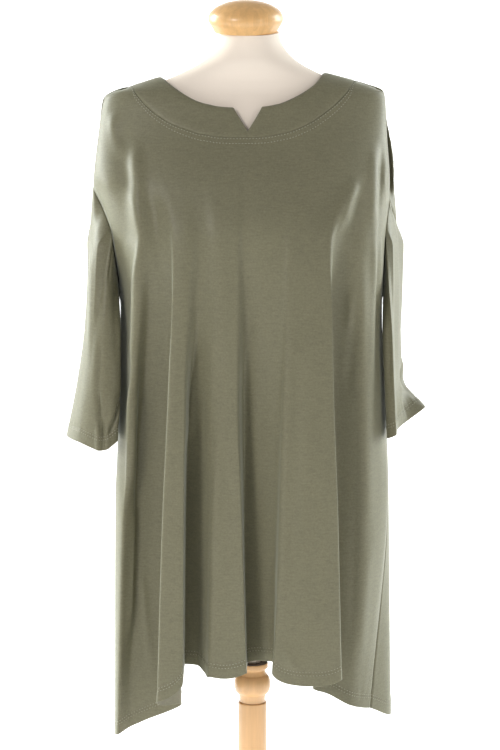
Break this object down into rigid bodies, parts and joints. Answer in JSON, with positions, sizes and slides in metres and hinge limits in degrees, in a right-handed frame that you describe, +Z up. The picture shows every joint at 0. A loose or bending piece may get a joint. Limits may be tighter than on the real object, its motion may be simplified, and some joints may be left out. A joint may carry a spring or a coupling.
{
  "type": "trapeze blouse on a limbless dress form stand",
  "caption": "Loose trapeze tunic blouse with elbow sleeves and a notched neckband, hung in folds on a cream dress form with a wooden post stand.",
  "frame": {"origin": "centre of the underside of the stand's round base, on the floor", "axes": "+Z up, -Y the front of the tunic, +X the wearer's left"},
  "size_m": [0.546, 0.34, 1.5326],
  "materials": {
    "olive_jersey": "fine single jersey in muted olive, matt, hanging in soft deep folds",
    "cream_cover": "smooth stretched cream cotton jersey over padding",
    "pale_wood": "pale turned hardwood under a satin varnish"
  },
  "bodies": {
    "root": {"front": "olive_jersey", "back": "olive_jersey", "sleeve_right": "olive_jersey", "sleeve_left": "olive_jersey", "neckband_front": "olive_jersey", "neckband_back": "olive_jersey", "form_torso": "cream_cover", "neck_cap": "pale_wood", "stand_collar": "pale_wood", "stand_post": "pale_wood", "stand_base": "pale_wood"}
  },
  "joints": []
}
